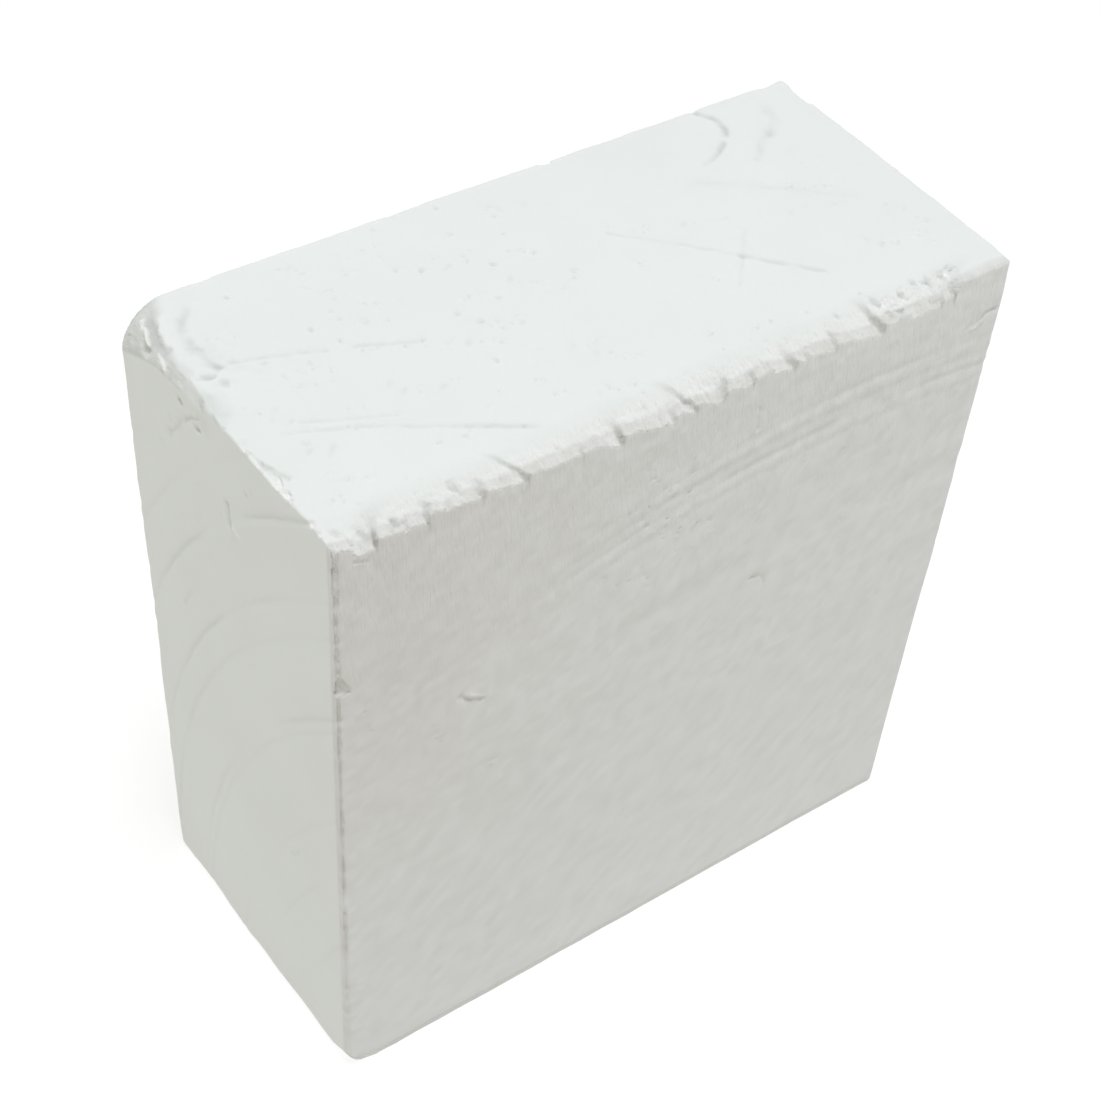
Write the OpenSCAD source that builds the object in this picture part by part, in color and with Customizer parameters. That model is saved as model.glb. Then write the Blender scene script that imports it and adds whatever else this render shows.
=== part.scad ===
// Gymnastics chalk block: one piece of pressed magnesium carbonate, sawn from a larger slab.
// Millimetres. +X runs along the two sawn ends' spacing, -Y is the front broad face, +Z is up.
// The origin is on the ground, at the middle of the block's footprint.

/* [Block] */
// Distance between the two end faces at the middle of the block
block_length = 60.3; // [50:0.1:70]
// Distance between the two broad faces
block_thickness = 28.6; // [24:0.2:34]
// Height from the face it stands on to the top face
block_height = 63.2; // [54:0.2:72]

/* [Saw cuts] */
// Lean of the left end face: its top stands out further than its foot, in degrees
left_lean = 0.6; // [0:0.05:1.5]
// Turn of the left end face: its back edge stands out further than its front one, in degrees
left_turn = 1.6; // [0:0.1:2.4]
// Turn of the right end face, in degrees
right_turn = 1.3; // [0:0.1:2.4]

/* [Eased edges] */
// Radius of the ordinary edges, rubbed by handling
edge_radius = 0.45; // [0.2:0.05:0.8]
// Number of flats that make up the round of one ordinary edge
edge_flats = 3; // [2:1:4]

/* [Crumbled top front edge] */
// How far the crumbled edge is worn back over the top face
crumble_back = 2.5; // [1.2:0.1:3]
// How far it is worn down the front face
crumble_drop = 1.1; // [0.8:0.1:2]
// Number of flats across the crumbled edge
crumble_flats = 4; // [2:1:6]
// Sound length left at the right-hand end of this edge
sound_length = 5.2; // [3:0.2:8]

/* [Spall at the right of that edge] */
// Length of the spall, which ends where the sound length begins
spall_length = 9.2; // [5:0.2:12]
// How far the spall reaches back over the top face at its right end
spall_back = 2.3; // [1.6:0.1:3]
// Height of the little wall behind the spall
spall_wall = 0.45; // [0.2:0.05:0.7]
// How far the spall reaches down the front face
spall_drop = 1.8; // [1.4:0.1:2.6]

/* [Worn corners] */
// Radius at the back of the rounded top left corner
top_corner_radius = 4.4; // [2:0.1:6]
// Distance from the back face over which that round fades to an ordinary edge
top_corner_run = 12; // [6:0.5:16]
// Radius at the front of the rounded bottom left corner
foot_corner_radius = 3; // [1:0.1:4]
// Distance from the front face over which that round fades
foot_corner_run = 2.6; // [1.5:0.1:5]
// Number of flats in the round of a worn corner
corner_flats = 7; // [3:1:9]

/* [Notch in the left front edge] */
// Height of the notch above the foot
notch_height = 49.2; // [30:0.2:56]
// Depth of the notch, measured inward from the sharp edge
notch_depth = 0.95; // [0.5:0.05:1.5]
// Length of the notch up and down the edge
notch_length = 1.6; // [1:0.1:3]

/* [Hidden] */

// Each nick in the crumbled edge: [distance from the left end, length, depth, skew in degrees].
// A nick runs in gently from its left and stops at a steep wall on its right.
NICKS = [
    [3.1, 1.6, 1.6, -10], [7.1, 3.4, 1.1, 15], [11.5, 3.8, 1.0, 15], [15.0, 3.2, 1.2, 40], [19.6, 3, 1.0, 20],
    [23, 2.4, 1.5, 25], [27.5, 3.6, 1.5, 15], [29.5, 1.8, 1.6, 40], [32, 2, 1.4, 10], [34.5, 1.6, 1.1, 10],
    [38.5, 1.8, 1.45, 32], [42.5, 2.2, 1.25, 10], [47.1, 3.6, 1.75, 30]
];
nick_tilt = 60; // a nick's floor looks up at this angle, so it eats more of the top than of the front
nick_wall = 0.35; // the steep side of a nick leans by this much, in mm over the nick's depth
nick_reach = 8; // length of a nick's cutter across the edge
crumble_curve = 1.3; // at 1 the crumbled edge is one flat slope; above that it rolls off the top face
spall_step = 0.55; // share of the spall, from its right end, that reaches the full way back
spall_near_back = 0.7; // the rest reaches this share of the way back
overcut = 1; // every cutter passes the surface it cuts by this much

// The block's reach on each side of mid-length, where its ends stand out furthest
left_reach = (block_length + block_height * tan(left_lean) + block_thickness * tan(left_turn)) / 2;
right_reach = (block_length + block_thickness * tan(right_turn)) / 2;
mid_x = (left_reach - right_reach) / 2;
left_x = mid_x - block_length / 2;
right_x = mid_x + block_length / 2;
front_y = -block_thickness / 2;
back_y = block_thickness / 2;
sound_x = right_x - sound_length;

function unit(v) = v / norm(v);

// A plane is [outward normal, distance from the origin along it]
function plane(normal, point) = [unit(normal), unit(normal) * point];

LEFT = plane([-1, -tan(left_turn), -tan(left_lean)], [left_x, 0, block_height / 2]);
RIGHT = plane([1, -tan(right_turn), 0], [right_x, 0, 0]);
FRONT = plane([0, -1, 0], [0, front_y, 0]);
BACK = plane([0, 1, 0], [0, back_y, 0]);
FOOT = plane([0, 0, -1], [0, 0, 0]);
TOP = plane([0, 0, 1], [0, 0, block_height]);

// Every edge of the block, as the pair of faces that meet there
EDGES = concat(
    [for (end = [LEFT, RIGHT], side = [FRONT, BACK, FOOT, TOP]) [end, side]],
    [for (broad = [FRONT, BACK], level = [FOOT, TOP]) [broad, level]]
);

// The middle of a round: the point that lies `inset` inside both planes of an edge
function round_centre(a, b, inset) =
    let (c = a[0] * b[0], u = a[1] - inset, v = b[1] - inset)
    ((u - c * v) * a[0] + (v - c * u) * b[0]) / (1 - c * c);

// The flat that touches an edge's round of the given radius, `share` of the way from plane a to plane b
function round_flat(a, b, radius, share) =
    let (n = unit((1 - share) * a[0] + share * b[0]))
    [n, n * round_centre(a, b, radius) + radius];

// A flat of a round whose radius changes from `radius` at y = deep to the ordinary one at y = deep + run
function tapered_flat(a, b, radius, share, deep, run) =
    let (
        start = round_flat(a, b, radius, share),
        finish = round_flat(a, b, edge_radius, share),
        slope = (start[1] - finish[1]) / run,
        n = start[0] + [0, slope, 0]
    )
    [unit(n), (start[1] + slope * deep) / norm(n)];

// What lies beyond a plane, out to half of `size` around the plane's point nearest to `spot`
module beyond(flat, spot, size) {
    n = flat[0];
    translate(spot - (n * spot - flat[1]) * n)
        rotate([0, acos(n[2]), atan2(n[1], n[0])])
            translate([-size / 2, -size / 2, 0])
                cube(size);
}

// What is rubbed off the edge between planes a and b: a prism along it, hollowed by the edge's round
module eased_edge(a, b, length) {
    along = unit(cross(a[0], b[0]));
    aside = cross(along, a[0]);
    centre = round_centre(a, b, edge_radius);
    sweep = acos(a[0] * b[0]);
    rubbed = [
        for (i = [0:edge_flats])
            edge_radius * [cos(sweep * i / edge_flats), sin(sweep * i / edge_flats)]
    ];
    outside = [
        edge_radius * [cos(sweep), sin(sweep)] + overcut * [cos(sweep), sin(sweep)],
        (edge_radius + overcut) * [1, 1],
        [edge_radius + overcut, 0]
    ];
    multmatrix([
        for (row = [0:2])
            [a[0][row], aside[row], along[row], centre[row]]
    ])
        translate([0, 0, -length])
            linear_extrude(height = 2 * length)
                polygon(concat(rubbed, outside));
}

// A prism whose outline lies across the block (y, z), running along X
module along_x(from_x, to_x, outline) {
    translate([from_x, 0, 0])
        rotate([90, 0, 90])
            linear_extrude(height = to_x - from_x)
                polygon(outline);
}

// What is worn off the top front edge: its foot rolls off the top face gently and meets the front at an angle
module crumbled_edge() {
    worn = [
        for (i = [0:crumble_flats])
            let (share = 1 - i / crumble_flats)
            [
                front_y + crumble_back * share,
                block_height - crumble_drop * pow(1 - share, crumble_curve)
            ]
    ];
    outside = [
        [front_y - overcut, block_height - crumble_drop],
        [front_y - overcut, block_height + overcut],
        [front_y + crumble_back, block_height + overcut]
    ];
    along_x(left_x - block_length, sound_x, concat(worn, outside));
}

// One step of the spall: a small wall at the back of it, then a slope down to the front face
module spall_bite(from_x, back) {
    along_x(from_x, sound_x, [
        [front_y + back, block_height + overcut],
        [front_y + back, block_height - spall_wall],
        [front_y, block_height - spall_drop],
        [front_y - overcut, block_height - spall_drop],
        [front_y - overcut, block_height + overcut]
    ]);
}

// The spall as a whole, in two steps
module spall() {
    spall_bite(sound_x - spall_length, spall_near_back * spall_back);
    spall_bite(sound_x - spall_step * spall_length, spall_back);
}

// One nick, cut across the edge where the front and top faces would meet
module nick(from_left, length, depth, skew) {
    translate([left_x + from_left, front_y, block_height])
        rotate([0, 0, skew])
            rotate([90 - nick_tilt + 90, 0, 0])
                linear_extrude(height = nick_reach, center = true)
                    polygon([
                        [-length, overcut],
                        [-length, 0],
                        [0, -depth],
                        [nick_wall, 0],
                        [nick_wall, overcut]
                    ]);
}

// A rounded corner of the left end, deepest at y = deep and faded out at y = deep + run
module worn_corner(level, z, radius, deep, run) {
    for (i = [1:corner_flats])
        beyond(
            tapered_flat(LEFT, level, radius, i / (corner_flats + 1), deep, run),
            [left_x, deep, z],
            3 * max(radius, abs(run))
        );
}

// The notch in the upright edge between the left end and the front face
module edge_notch() {
    translate([left_x, front_y, notch_height])
        rotate([0, 0, 45])
            rotate([90, 0, 0])
                linear_extrude(height = 4 * notch_depth, center = true)
                    polygon([
                        [-overcut, -notch_length / 2],
                        [0, -notch_length / 2],
                        [notch_depth, 0],
                        [0, notch_length / 2],
                        [-overcut, notch_length / 2]
                    ]);
}

module chalk_block() {
    color([0.93, 0.94, 0.93])
        difference() {
            translate([-block_length, front_y, 0])
                cube([2 * block_length, block_thickness, block_height]);
            beyond(LEFT, [left_x, 0, block_height / 2], 3 * block_height);
            beyond(RIGHT, [right_x, 0, block_height / 2], 3 * block_height);
            for (edge = EDGES)
                eased_edge(edge[0], edge[1], 2 * block_height);
            crumbled_edge();
            spall();
            for (n = NICKS)
                nick(n[0], n[1], n[2], n[3]);
            worn_corner(TOP, block_height, top_corner_radius, back_y, -top_corner_run);
            worn_corner(FOOT, 0, foot_corner_radius, front_y, foot_corner_run);
            edge_notch();
        }
}

chalk_block();
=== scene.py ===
import math

import bpy
import numpy as np
from mathutils import Matrix, Vector


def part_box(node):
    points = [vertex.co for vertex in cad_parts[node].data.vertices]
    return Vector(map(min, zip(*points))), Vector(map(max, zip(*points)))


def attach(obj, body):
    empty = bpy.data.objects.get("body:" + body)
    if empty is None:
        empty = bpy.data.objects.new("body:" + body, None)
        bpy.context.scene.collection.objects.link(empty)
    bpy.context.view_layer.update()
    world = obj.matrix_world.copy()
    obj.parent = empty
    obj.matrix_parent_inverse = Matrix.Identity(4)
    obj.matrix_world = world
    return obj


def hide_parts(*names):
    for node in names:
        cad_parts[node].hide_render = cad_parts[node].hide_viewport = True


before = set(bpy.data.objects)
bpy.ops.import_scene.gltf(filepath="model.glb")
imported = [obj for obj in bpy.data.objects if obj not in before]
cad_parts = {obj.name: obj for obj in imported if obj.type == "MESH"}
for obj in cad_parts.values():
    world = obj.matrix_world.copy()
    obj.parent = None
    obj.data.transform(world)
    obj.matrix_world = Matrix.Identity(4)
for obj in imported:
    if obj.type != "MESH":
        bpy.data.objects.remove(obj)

# A gymnastics chalk block: one piece of pressed magnesium carbonate, sawn on six sides, with a crumbled
# top front edge and a crushed corner. Shapes are worked out in millimetres and built in metres.

MM = 0.001
NODE = "chalk_block"
AXES = {"x": 0, "y": 1, "z": 2}

# Each side of the block: (name, the axis it faces along, which way)
SIDES = [
    ("left", 0, -1), ("right", 0, 1), ("front", 1, -1), ("back", 1, 1), ("bottom", 2, -1), ("top", 2, 1),
]

# ------------------------------------------------ camera and stage

CAMERA_AIM = (0.50, 1.96, 33.37)  # mm
CAMERA_DISTANCE = 171.3  # mm
CAMERA_AZIMUTH = 38.46  # degrees from +Y towards +X
CAMERA_ELEVATION = 44.74
CAMERA_ROLL = 5.04
CAMERA_LENS = 66.32  # mm, on Blender's 36 mm sensor

FLOOR_SIZE = 8.0  # metres
FLOOR_ALBEDO = 0.35
FLOOR_GLOW = 0.76  # the floor is a lit white table, so that the shadow on it stays faint
SKY_COLOR = (0.22, 0.225, 0.165)
BACKDROP_WHITE = 1.0
KEY_COLOR = (0.885, 0.92, 0.985)
KEY_POWER = 2.70  # watts
KEY_SIZE = 0.22  # metres
KEY_PLACE = (-0.02, -0.13, 0.62)
FILL_POWER = 0.60
FILL_SIZE = 0.4
FILL_COLOR = (1.0, 1.0, 0.95)
FILL_PLACE = (-0.62, 0.02, 0.10)

# ------------------------------------------------ mesh density, in mm

FINEST = 0.128  # side of the smallest cell
FINE, MEDIUM, COARSE, COARSEST = (FINEST * n for n in (2, 4, 8, 16))
ROOT_UNITS = 16  # a cell of the coarsest grid is this many smallest cells wide
CORE_INSET = 7.0  # from the box to the inner box that the surface is looked for from
EDGE_BAND = 6.0  # wear along an edge reaches no further than this from it
HALVINGS = 9  # how often the search for the surface halves its step

# Zones of finer cells: (cell side, depth below each named face that a zone ends at, and that it starts at)
CELL_ZONES = [
    (MEDIUM, dict(front=0.4), dict(bottom=30.0)),
    (MEDIUM, dict(top=0.4), {}),
    (MEDIUM, dict(left=0.6), {}),
    (FINE, dict(front=4.0, top=3.0), {}),  # the crumbled edge
    (FINEST, dict(front=2.7, top=2.0), dict(right=4.4)),
    (FINEST, dict(front=0.5, left=1.0), dict(bottom=20.0)),  # the groove at the upright edge
    (FINE, dict(left=6.0, top=6.0, back=13.3), {}),  # the crushed corner
    (FINEST, dict(left=4.0, top=3.6, back=11.8), {}),
]
FOOT_CELLS = 0.4  # the coarsest cells lie less than this above the foot
EDGE_CELLS = 0.8  # width of the strip of fine cells along an edge of the left end or the top
PLAIN_EDGE_CELLS = 0.48  # the same along any other edge
CHIP_MARGIN = 0.2  # the finest cells reach this far past a single chip,
PIT_MARGIN = 0.08  # this far past a pit,
SCRATCH_MARGIN = 1.8  # and this many widths away from the middle of a scratch
GROOVE_MARGIN = 1.6  # the same for the fine cells of a narrow groove
HIDDEN_FACES = ("right", "back", "bottom")  # marks on these get fine cells instead of the finest

# ------------------------------------------------ wear along the edges, in mm

# How each edge is worn: (face, face, radius of its round, depth of its chips, size of its chips)
EDGE_WEAR = [
    ("left", "top", 0.22, 0.36, 0.6),
    ("right", "top", 0.22, 0.06, 1.4),
    ("back", "top", 0.28, 0.1, 1.5),
    ("left", "front", 0.14, 0.08, 0.8),
    ("right", "front", 0.15, 0.04, 1.3),
    ("left", "back", 0.25, 0.03, 1.6),
    ("right", "back", 0.45, 0.6, 1.9),
    ("left", "bottom", 1.2, 0.08, 1.5),
    ("right", "bottom", 0.45, 0.55, 1.8),
    ("front", "bottom", 0.25, 0.05, 1.2),
    ("back", "bottom", 0.45, 0.65, 2.0),
    ("front", "top", 0.2, 0.06, 1.0),
]

TOP_CORNER_RADIUS = 4.4  # the rounded top left corner, at the back
TOP_CORNER_RUN = 12.0
TOP_CORNER_FADE = 1.5  # over 1, the round shrinks fastest near the back
TOP_BEVEL = (0.75, 1.6)  # in front of that round, a steep bevel: its reach over the top and down the end
TOP_BEVEL_FROM, TOP_BEVEL_TO = 3.0, 13.5  # where it lies along the edge
FOOT_CORNER_RADIUS = 3.0  # the rounded bottom left corner, at the front
FOOT_CORNER_RUN = 2.6

CRUMBLE_BACK = 2.5  # how far the crumbled edge is worn back over the top
CRUMBLE_CURVE = 1.4  # over 1, the wear rolls off the top smoothly and ends at an angle on the front
SOUND_LENGTH = 5.4  # of that edge, at its right end
SOUND_BACK = 0.22

# The teeth of the crumbled edge: (where a tooth starts, how far the edge is worn down there and at its right
# end, skew in degrees, how soon its left wall softens towards the back). Places are distances from the left
# end. A tooth that starts less worn than the one before it ended has a wall at its left, dark in shade and
# darkened further by painted shade.
TEETH = [
    (-1.0, 0.62, 0.62, 0, 1.0), (0.5, 0.62, 0.92, -10, 1.0), (2.2, 1.62, 2.02, -10, 0.6),
    (3.9, 1.07, 1.52, -8, 0.3), (7.9, 0.72, 1.37, 15, 0.9), (12.3, 0.82, 1.57, 30, 0.8),
    (15.8, 0.97, 1.32, 42, 0.04), (20.4, 0.97, 1.37, 20, 1.0), (22.6, 1.37, 1.97, 20, 1.0),
    (23.8, 1.17, 1.97, 30, 0.4), (28.3, 1.37, 2.07, 15, 1.0), (30.3, 1.22, 1.87, 45, 0.08),
    (32.8, 1.32, 1.42, 10, 0.5), (35.3, 1.02, 0.97, 10, 0.9), (37.3, 1.37, 1.87, 10, 1.0),
    (39.3, 1.22, 1.52, 35, 0.4), (40.4, 1.17, 1.62, 10, 1.0), (43.3, 1.17, 2.27, 10, 0.7),
    (47.9, 1.37, 1.27, 32, 0.08), (50.7, 1.77, 1.87, 0, 1.0), (53.8, 1.37, 1.37, 0, 1.0),
    (55.0, 0.12, 0.15, 0, 0.5), (58.2, 0.12, 0.08, 0, 2.0), (61.5, 0.08, 0.08, 0, 2.0),
]
TOOTH_WALL = 0.13  # the wall leans by this much at the front

# Small extra nicks behind the teeth: (distance from the left end, from the front, half length, depth)
DIMPLES = [
    (5.8, 0.75, 0.42, 0.5), (10.6, 1.2, 0.45, 0.4), (3.5, 0.9, 0.4, 0.35), (1.6, 1.3, 0.3, 0.25),
    (8.2, 0.9, 0.25, 0.3), (18.8, 0.9, 0.25, 0.25), (26.4, 1.2, 0.25, 0.25), (33.2, 0.8, 0.3, 0.45),
    (35.4, 0.5, 0.2, 0.35), (43.2, 1.0, 0.25, 0.35), (44.5, 1.9, 0.25, 0.3), (12.4, 0.8, 0.25, 0.3),
    (53.4, 1.7, 0.35, 0.4), (52.0, 1.9, 0.3, 0.35), (48.8, 0.6, 0.35, 0.35), (48.2, 1.8, 0.35, 0.4),
    (49.9, 0.4, 0.3, 0.3), (54.9, 1.6, 0.25, 0.3), (50.6, 1.5, 0.3, 0.35), (36.6, 0.8, 0.2, 0.25),
]

SPALL_FROM, SPALL_TO = 17.0, 24.6  # where the spall lies along the edge
SPALL_BACK = 1.75  # how far it reaches over the top
SPALL_WALL = 0.20  # height of the small wall behind it
SPALL_SLOPE = 0.55  # how steeply its floor falls towards the front
SPALL_LEAN = 0.35  # its right end leans to the right by this much for each mm towards the back

# Single chips: (face, face, place along the edge, half length, depths below the first and second face)
SINGLE_CHIPS = [
    ("back", "top", 6.2, 0.8, 0.5, 0.8), ("back", "top", 28.5, 1.6, 0.4, 0.7),
    ("back", "top", -8.0, 1.0, 0.2, 0.35), ("right", "top", 11.6, 1.6, 0.4, 0.7),
    ("left", "top", -6.9, 2.2, 0.5, 0.55), ("left", "top", -4.3, 0.7, 0.28, 0.3),
    ("left", "top", -11.7, 0.3, 0.3, 0.5), ("left", "front", 58.9, 0.6, 0.3, 0.3),
    ("right", "back", 38.0, 2.4, 1.2, 0.9), ("right", "back", 12.0, 1.6, 0.8, 1.0),
    ("back", "bottom", -9.0, 3.0, 1.3, 1.1), ("back", "bottom", 17.0, 2.0, 0.8, 1.2),
    ("right", "bottom", 3.0, 2.4, 1.2, 0.9),
]

# The dark groove on the front beside the left upright edge: (height, width, depth), from the top down
ARRIS_GROOVE = [
    (63.0, 0.34, 0.25), (60.6, 0.37, 0.35), (58.6, 0.31, 0.32), (57.0, 0.15, 0.26), (54.0, 0.15, 0.26),
    (52.0, 0.21, 0.28), (50.4, 0.29, 0.3), (49.2, 0.9, 0.42), (48.7, 1.04, 0.46), (48.6, 0.19, 0.2),
    (46.0, 0.15, 0.24), (42.0, 0.16, 0.24), (40.0, 0.11, 0.18), (36.0, 0.11, 0.2), (34.5, 0.19, 0.26),
    (32.0, 0.17, 0.24), (31.0, 0.05, 0.05), (29.5, 0.15, 0.18), (26.0, 0.14, 0.16), (24.5, 0.05, 0.05),
    (22.5, 0.2, 0.18), (12.0, 0.2, 0.16), (6.0, 0.16, 0.1), (2.0, 0.05, 0.0),
]

GROOVE_BAND = 2.0  # the groove reaches no further than this from the edge

# Roughness as layers of noise: (height, size of its features, seed). Three sizes stretch the features.
TOOTH_DRIFT = [(0.12, 0.9, 312), (0.08, 0.3, 313)]
CRUMBLE_DRIFT = [(0.5, (4.0, 9.0, 9.0), 303), (0.15, 0.8, 304)]
STRIAE = [(0.24, (0.32, 2.0, 2.0), 306), (0.24, (0.24, 0.8, 0.8), 307)]
SPALL_DRIFT = [(0.5, (1.6, 9.0, 9.0), 324), (0.22, 0.5, 325)]
SPALL_FLOOR = [(0.20, 1.3, 320), (0.18, 0.6, 321), (0.10, 0.3, 322)]
BEVEL_DRIFT = [(0.22, 2.2, 341), (0.06, 0.7, 342)]
CHIP_DRIFT = [(0.28, 0.7, 260), (0.14, 0.3, 261)]
CRUMBS = [(0.055, 0.7, 140), (0.0275, 0.35, 141), (0.01375, 0.175, 142), (0.075, 0.32, 144)]
RUBBLE = [(0.04, 0.8, 167), (0.02, 0.4, 168), (0.02, 0.3, 169)]
GROOVE_DRIFT = [(0.10, 1.6, 70), (0.05, 0.5, 71)]
UNEVENNESS = [(0.05, 11.0, 170), (0.005, 4.0, 171)]

# ------------------------------------------------ saw marks, in mm

# The in-plane axes of each sawn face, as signed axis names; u runs right and v up for someone facing it
FACE_AXES = {
    "front": ("+x", "+z"),
    "back": ("-x", "+z"),
    "left": ("-y", "+z"),
    "right": ("+y", "+z"),
    "top": ("+x", "+y"),
    "bottom": ("+x", "-y"),
}

# The blade's marks on each face: its radius, its centre at travel 0, the direction in which it was fed, and
# the deeper grooves as (travel, depth, width)
SAW_MARKS = {
    "front": dict(
        radius=100.0, centre=(17.5, -46.4), feed=(0.0, -1.0), strength=0.9,
        grooves=[
            (-3.2, 0.055, 0.3), (-2.3, -0.04, 0.4), (-1.5, 0.03, 0.3), (-0.3, 0.065, 0.3),
            (0.5, -0.04, 0.45), (1.3, 0.03, 0.3), (8.2, -0.04, 0.7), (10.2, 0.05, 0.8),
            (12.6, -0.03, 0.6), (17.0, 0.035, 0.9), (19.5, 0.035, 0.6),
        ],
    ),
    "left": dict(
        radius=70.0, centre=(53.8, -0.1), feed=(0.69, -0.72), strength=1.3,
        grooves=[
            (-10.5, 0.07, 0.26), (-6.1, 0.13, 0.24), (-5.5, -0.04, 0.3), (0.0, 0.13, 0.24),
            (0.6, -0.04, 0.3), (2.9, 0.1, 0.24), (9.2, 0.1, 0.26), (10.3, 0.06, 0.24),
            (17.5, 0.06, 0.26), (22.0, 0.05, 0.26), (27.5, 0.06, 0.3),
        ],
    ),
    "top": dict(radius=90.0, centre=(-57.0, -82.0), feed=(-0.55, -0.84), strength=0.5, grooves=[]),
    "back": dict(
        radius=100.0, centre=(-12.0, -40.0), feed=(0.1, -1.0), strength=2.0,
        grooves=[
            (-1.0, 0.09, 0.5), (4.0, -0.05, 0.6), (6.5, 0.08, 0.5), (14.0, 0.07, 0.6), (21.0, 0.08, 0.5),
        ],
    ),
    "right": dict(
        radius=70.0, centre=(-40.0, 0.0), feed=(-0.6, -0.8), strength=2.0,
        grooves=[(-14.0, 0.08, 0.5), (-3.0, 0.09, 0.5), (5.0, 0.08, 0.5), (13.0, 0.07, 0.5)],
    ),
    "bottom": dict(
        radius=90.0, centre=(50.0, -80.0), feed=(0.5, -0.85), strength=1.0, grooves=[(0.0, 0.06, 0.5)],
    ),
}
FINE_GROOVE = 0.3  # a groove this narrow gets smaller mesh cells and a ragged course
MARK_BAND = 1.0  # saw marks and scratches reach no further below a face than this

# ------------------------------------------------ scratches and pits, in mm

# Scratches on each face: (points, width, depth); a negative depth is a ridge
SCRATCHES = {
    "top": [
        ([(21.0, 13.9), (21.9, 12.4), (21.8, 11.0), (21.2, 10.0)], 0.3, 0.34),
        ([(20.4, 9.2), (19.6, 8.7)], 0.26, 0.3),
        ([(19.4, 8.5), (17.3, 7.6)], 0.22, 0.22),
        ([(26.7, 11.6), (26.0, 9.8), (24.6, 8.6)], 0.5, 0.1),
        ([(24.6, 8.6), (22.8, 7.4), (21.2, 5.9)], 0.36, 0.13),
        ([(5.0, 4.0), (8.6, 0.4), (12.0, -3.3)], 0.18, 0.1),
        ([(12.0, -3.3), (14.2, -5.8), (16.3, -8.0)], 0.22, 0.16),
        ([(13.9, -1.0), (11.6, -3.4), (9.2, -6.3)], 0.2, -0.07),
        ([(14.2, -1.2), (11.9, -3.7), (9.6, -6.3)], 0.16, 0.09),
        ([(11.2, -1.0), (13.6, -1.1)], 0.35, -0.06),
        ([(-26.8, 5.0), (-23.6, 4.0), (-20.3, 2.8)], 0.16, 0.13),
        ([(-18.3, 2.1), (-16.0, 1.1), (-13.8, 0.2)], 0.18, 0.14),
        ([(-27.4, -3.3), (-22.0, -5.5), (-17.2, -8.4)], 0.16, 0.12),
        ([(-25.6, -2.9), (-22.5, -4.4), (-19.6, -5.6)], 0.14, 0.1),
        ([(-17.0, -8.5), (-14.6, -9.9), (-12.2, -11.4)], 0.22, 0.16),
        ([(15.0, 6.0), (20.0, 2.2), (25.0, -2.0)], 0.45, 0.04),
        ([(-29.85, -5.0), (-29.5, -6.1), (-29.17, -7.3)], 0.17, 0.34),
    ],
    "front": [
        ([(-19.4, 42.5), (-18.6, 41.7), (-17.6, 41.1)], 0.24, 0.22),
        ([(-18.9, 42.3), (-18.0, 41.6), (-17.4, 41.2)], 0.2, -0.14),
        ([(5.8, 59.1), (6.0, 56.9)], 0.16, 0.14),
        ([(7.9, 40.1), (9.0, 39.9), (9.6, 38.9)], 0.18, 0.12),
        ([(27.2, 57.5), (28.2, 57.9)], 0.2, -0.12),
        ([(28.0, 58.3), (28.8, 58.6), (29.5, 58.7)], 0.18, 0.18),
        ([(-28.1, 60.8), (-27.6, 60.5)], 0.12, -0.12),
        ([(-28.3, 61.1), (-27.4, 60.6)], 0.14, 0.2),
    ],
    "left": [
        ([(0.35, 55.8), (0.4, 54.8), (0.56, 53.7)], 0.24, 0.3),
        ([(1.1, 53.9), (1.6, 53.6)], 0.32, -0.14),
        ([(-8.3, 38.2), (-6.8, 40.6)], 0.24, 0.12),
        ([(6.6, 22.2), (7.6, 23.6)], 0.26, 0.12),
    ],
    "back": [
        ([(-12.0, 48.0), (-4.0, 36.0), (3.0, 27.0)], 0.22, 0.14),
        ([(14.0, 20.0), (16.5, 12.0)], 0.24, 0.14),
    ],
    "right": [
        ([(-6.0, 44.0), (2.0, 37.0)], 0.22, 0.14),
    ],
}

# Pits placed one by one on each face: (u, v, radius)
PITS = {
    "top": [
        (-20.2, 5.3, 0.27), (-18.9, 3.3, 0.27), (-23.4, 11.4, 0.24), (-14.0, 0.3, 0.2), (-9.8, 7.1, 0.24),
        (-11.4, 8.1, 0.2), (-6.2, 6.4, 0.2), (-4.7, 5.2, 0.24), (-4.6, 13.2, 0.2), (-1.3, 4.8, 0.24),
        (-2.0, 5.6, 0.2), (-1.3, 10.0, 0.2), (-5.4, 9.8, 0.2), (0.1, 1.5, 0.24), (-0.4, 0.8, 0.2),
        (-10.2, 1.4, 0.2), (-9.0, -0.1, 0.24), (-10.7, -4.3, 0.24), (9.0, -10.6, 0.24), (7.6, -10.8, 0.2),
        (12.0, -11.2, 0.2), (22.6, -7.6, 0.2), (23.0, -8.6, 0.17), (-24.7, 3.7, 0.2), (16.9, -11.5, 0.2),
        (4.3, -9.6, 0.2), (-12.9, -11.0, 0.2), (-3.8, -11.4, 0.2),
    ],
    "front": [
        (-1.7, 51.6, 0.24), (-2.4, 54.9, 0.2), (0.2, 53.4, 0.24), (-0.6, 49.4, 0.2), (0.1, 55.4, 0.2),
        (20.6, 25.1, 0.2), (20.9, 59.1, 0.2), (-11.9, 28.6, 0.17),
    ],
    "left": [
        (10.0, 59.5, 0.17), (7.7, 59.2, 0.17), (3.9, 59.7, 0.2),
    ],
}
PIT_DEPTH = dict(top=0.85, front=0.35, left=0.4, right=0.6, back=0.6, bottom=0.6)  # shares of its radius
PIT_BAND = 0.8  # pits reach no further below a face than this

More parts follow.
